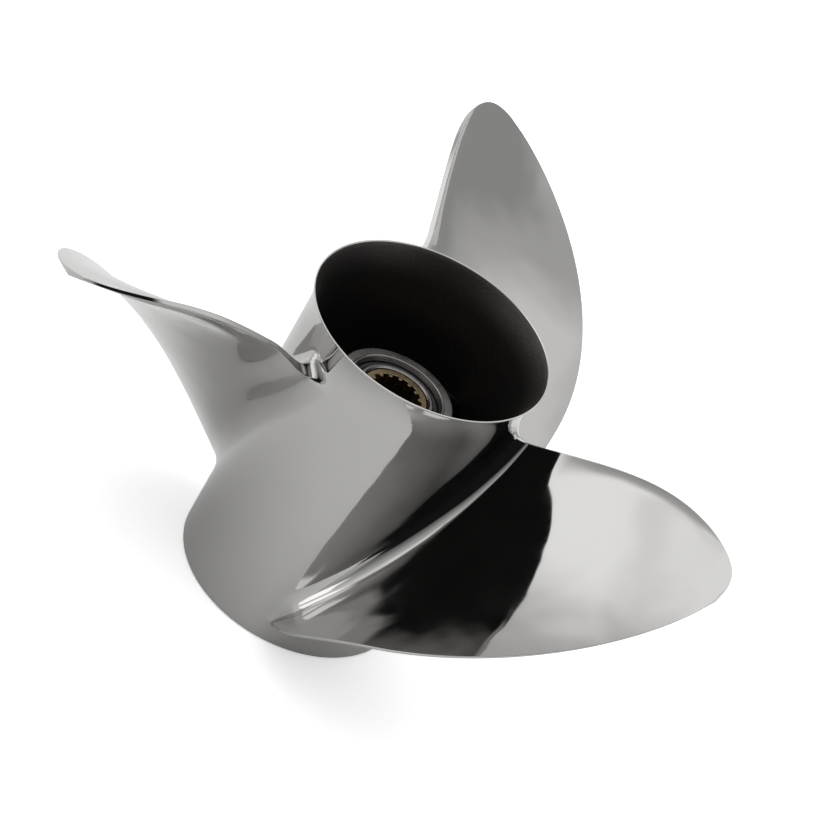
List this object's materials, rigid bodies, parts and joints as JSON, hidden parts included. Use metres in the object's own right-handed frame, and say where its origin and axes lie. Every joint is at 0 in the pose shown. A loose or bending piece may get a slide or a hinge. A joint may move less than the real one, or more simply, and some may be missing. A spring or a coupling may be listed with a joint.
{
  "type": "outboard propeller",
  "caption": "Polished stainless outboard propeller with raked right-hand blades on a through-hub exhaust barrel, rubber drive bushing and splined brass insert.",
  "frame": {"origin": "centre of the shaft's axis in the plane of the hub's front rim, on which the propeller stands", "axes": "+Z along the shaft's axis, pointing aft, up when it stands on its front rim; the blades' places about it are as in the picture"},
  "size_m": [0.3192, 0.2968, 0.1701],
  "materials": {
    "polished_stainless": "mirror-polished investment-cast stainless steel",
    "black_rubber": "moulded black rubber",
    "turned_steel": "turned steel",
    "brass": "broached brass"
  },
  "bodies": {
    "root": {"propeller_casting": "polished_stainless", "rubber_bushing": "black_rubber", "bushing_sleeve": "turned_steel", "splined_insert": "brass"}
  },
  "joints": []
}
